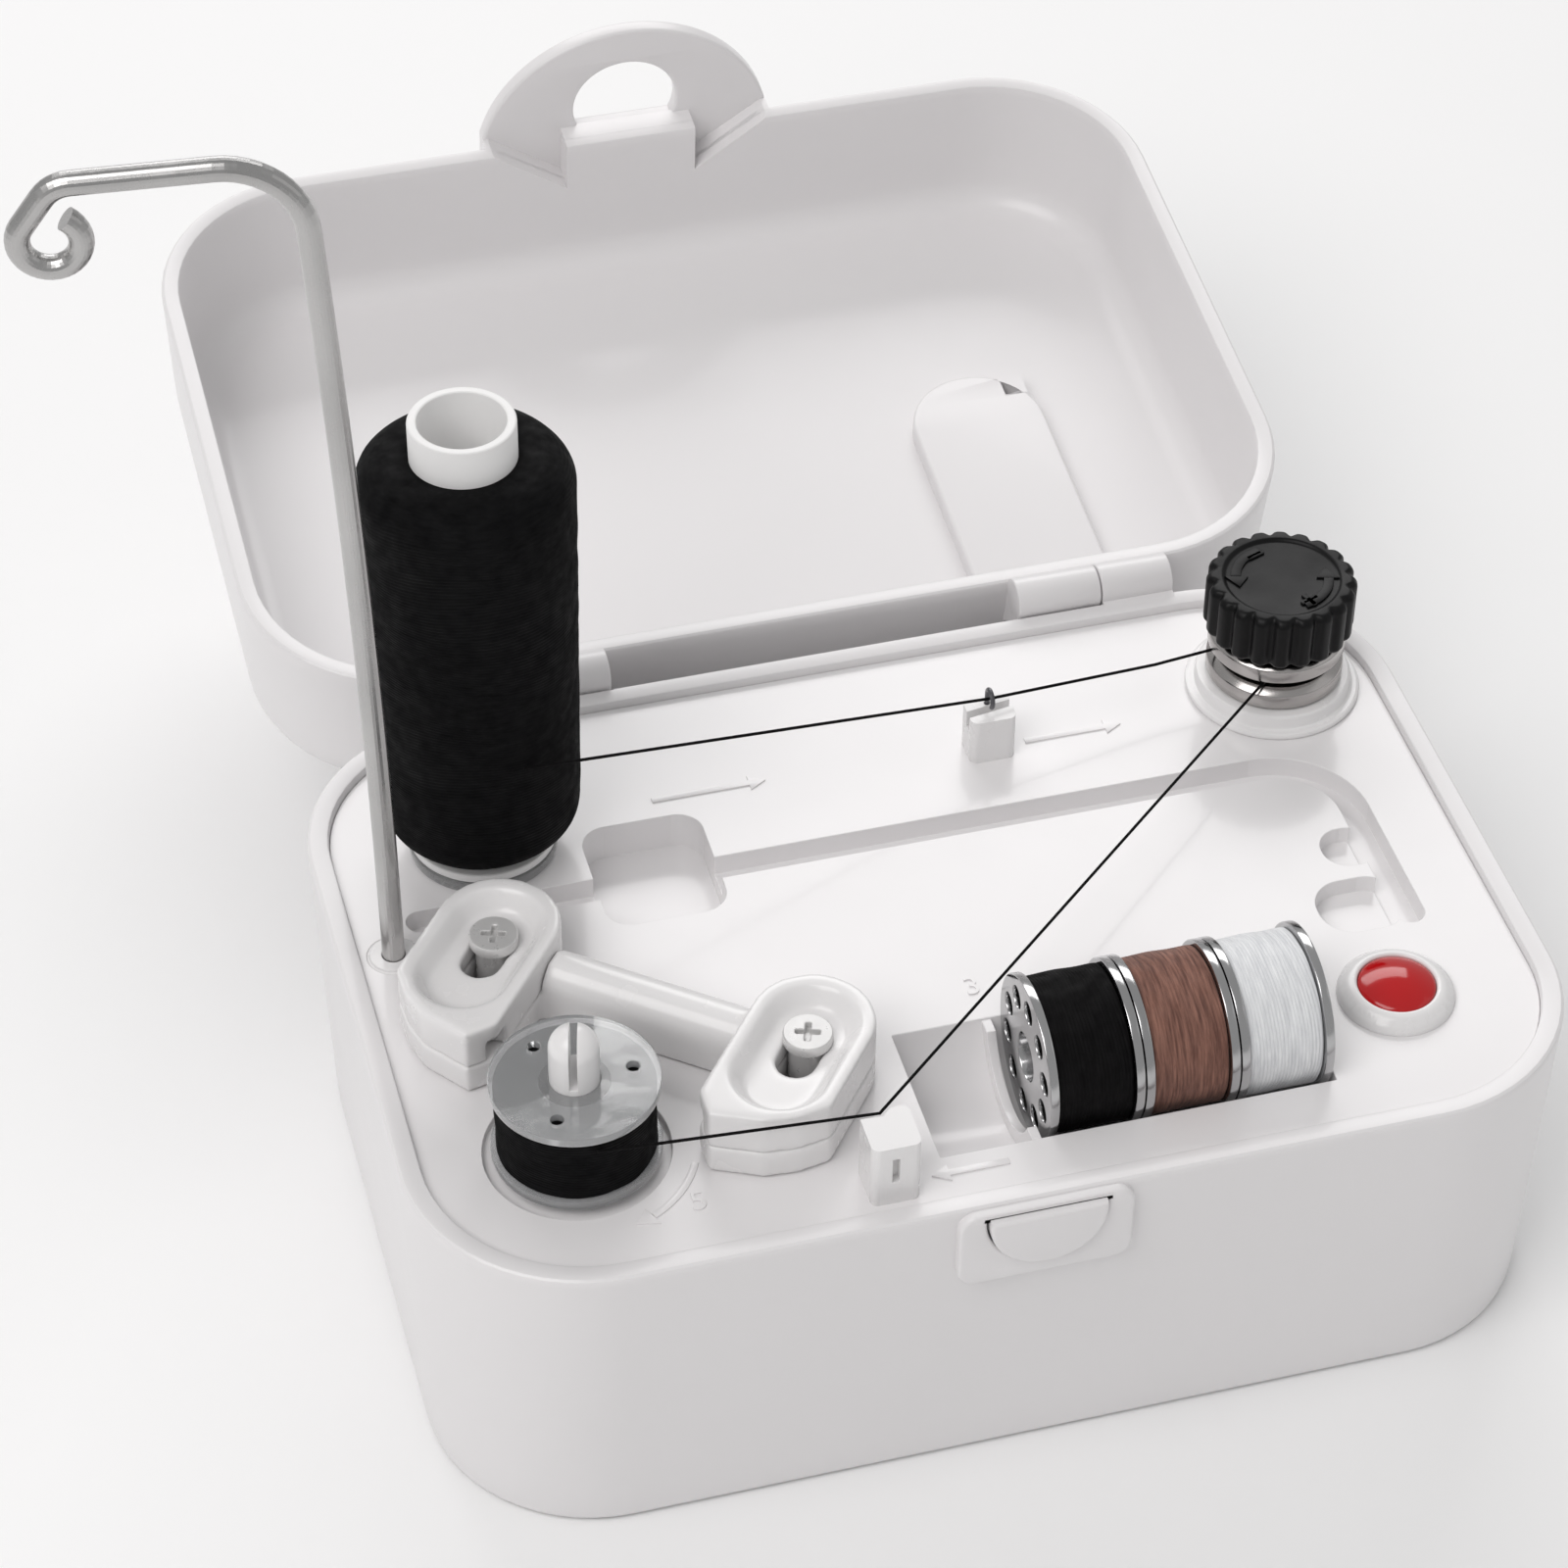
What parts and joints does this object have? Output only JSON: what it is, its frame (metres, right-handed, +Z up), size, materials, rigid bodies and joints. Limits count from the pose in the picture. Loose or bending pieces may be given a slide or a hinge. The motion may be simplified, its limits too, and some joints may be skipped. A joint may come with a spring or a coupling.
{
  "type": "portable bobbin winder",
  "caption": "Compact electric bobbin winder in a hinged box, with spindle, thread spool, wire guide, tension unit, push button and bobbin tray.",
  "frame": {"origin": "centre of the case footprint, on the table", "axes": "+X right along the front, +Y towards the hinge, +Z up"},
  "size_m": [0.1721, 0.2109, 0.1624],
  "materials": {
    "white_shell": "gloss",
    "base_white": "satin",
    "spool_white": "gloss",
    "clear_plastic": "clear",
    "black_plastic": "satin",
    "red_button": "gloss",
    "steel": "satin",
    "bright_steel": "polished",
    "brass": "satin",
    "rubber": "matte",
    "cell_wrap": "satin",
    "black_thread": "matte",
    "brown_thread": "matte",
    "white_thread": "matte",
    "wire_cover": "satin"
  },
  "bodies": {
    "case": {"lower_case": "white_shell", "base_plate": "base_white", "base_screws": "steel", "rubber_feet": "rubber", "battery_door": "base_white", "door_screw": "steel", "battery_box": "base_white", "battery_cells": "cell_wrap", "battery_contacts": "steel", "deck_plate": "white_shell", "hinge_pins": "steel", "latch_spring": "steel", "motor_can": "steel", "motor_end_cap": "black_plastic", "motor_saddle": "base_white", "saddle_screws": "steel", "drive_belt": "rubber", "spindle_bush": "brass", "spindle_foot": "brass", "spool_post": "spool_white", "spool_pad": "clear_plastic", "guide_socket": "white_shell", "tension_base": "white_shell", "tension_stud": "steel", "tension_nut": "steel", "lower_disc": "bright_steel", "upper_disc": "bright_steel", "tension_spring": "steel", "rear_guide": "white_shell", "rear_hook": "steel", "front_guide": "white_shell", "yoke_screws": "bright_steel", "stop_switch": "black_plastic", "button_ring": "white_shell", "button_spring": "steel", "start_switch": "black_plastic", "wiring": "wire_cover", "thread_run": "black_thread"},
    "lid": {"lid": "white_shell"},
    "latch": {"latch_pad": "white_shell"},
    "spindle": {"spindle_shaft": "steel", "driven_pulley": "base_white", "spindle_tip": "spool_white", "bobbin": "clear_plastic", "bobbin_thread": "black_thread"},
    "motor_rotor": {"motor_shaft": "steel", "motor_pulley": "brass"},
    "spool": {"spool_tube": "spool_white", "spool_thread": "black_thread"},
    "guide": {"wire_guide": "bright_steel"},
    "knob": {"tension_knob": "black_plastic"},
    "yoke": {"stop_yoke": "white_shell", "yoke_caps": "white_shell"},
    "button": {"start_button": "red_button"},
    "stored_1": {"stored_bobbin_1": "bright_steel", "stored_thread_1": "black_thread"},
    "stored_2": {"stored_bobbin_2": "bright_steel", "stored_thread_2": "brown_thread"},
    "stored_3": {"stored_bobbin_3": "bright_steel", "stored_thread_3": "white_thread"}
  },
  "joints": [
    {"name": "lid_hinge", "type": "hinge", "parent": "case", "child": "lid", "pos_m": [0, 0.0524, 0.0459], "axis": [1, 0, 0], "range_deg": [0, 98]},
    {"name": "latch_press", "type": "slide", "parent": "case", "child": "latch", "axis": [0, 1, 0], "range_m": [0, 0.001], "stiffness_N_per_m": 400, "springref_m": -0.0005},
    {"name": "spindle_spin", "type": "hinge", "parent": "case", "child": "spindle", "pos_m": [-0.0507, -0.0276, 0.03], "axis": [0, 0, 1], "continuous": true},
    {"name": "motor_spin", "type": "hinge", "parent": "case", "child": "motor_rotor", "pos_m": [-0.026, -0.002, 0.03], "axis": [0, 0, 1], "continuous": true},
    {"name": "spool_spin", "type": "hinge", "parent": "case", "child": "spool", "pos_m": [-0.05, 0.0266, 0.07], "axis": [0, 0, 1], "continuous": true},
    {"name": "guide_swivel", "type": "hinge", "parent": "case", "child": "guide", "pos_m": [-0.065, 0.0096, 0.04], "axis": [0, 0, 1], "range_deg": [-30, 100]},
    {"name": "tension_turn", "type": "hinge", "parent": "case", "child": "knob", "pos_m": [0.0563, 0.03, 0.057], "axis": [0, 0, 1], "range_deg": [-270, 270]},
    {"name": "yoke_slide", "type": "slide", "parent": "case", "child": "yoke", "axis": [0.6225, 0.7826, 0], "range_m": [0, 0.0012], "stiffness_N_per_m": 150, "springref_m": -0.001},
    {"name": "button_press", "type": "slide", "parent": "case", "child": "button", "axis": [0, 0, -1], "range_m": [0, 0.0015], "stiffness_N_per_m": 400, "springref_m": -0.0005},
    {"name": "stored_spin_1", "type": "hinge", "parent": "case", "child": "stored_1", "pos_m": [0.00955, -0.0296, 0.0469], "axis": [1, 0, 0], "continuous": true},
    {"name": "stored_spin_2", "type": "hinge", "parent": "case", "child": "stored_2", "pos_m": [0.0214, -0.0296, 0.0469], "axis": [1, 0, 0], "continuous": true},
    {"name": "stored_spin_3", "type": "hinge", "parent": "case", "child": "stored_3", "pos_m": [0.03325, -0.0296, 0.0469], "axis": [1, 0, 0], "continuous": true}
  ],
  "couplings": [
    {"joint": "motor_spin", "follows": "spindle_spin", "ratio": 2.949}
  ]
}
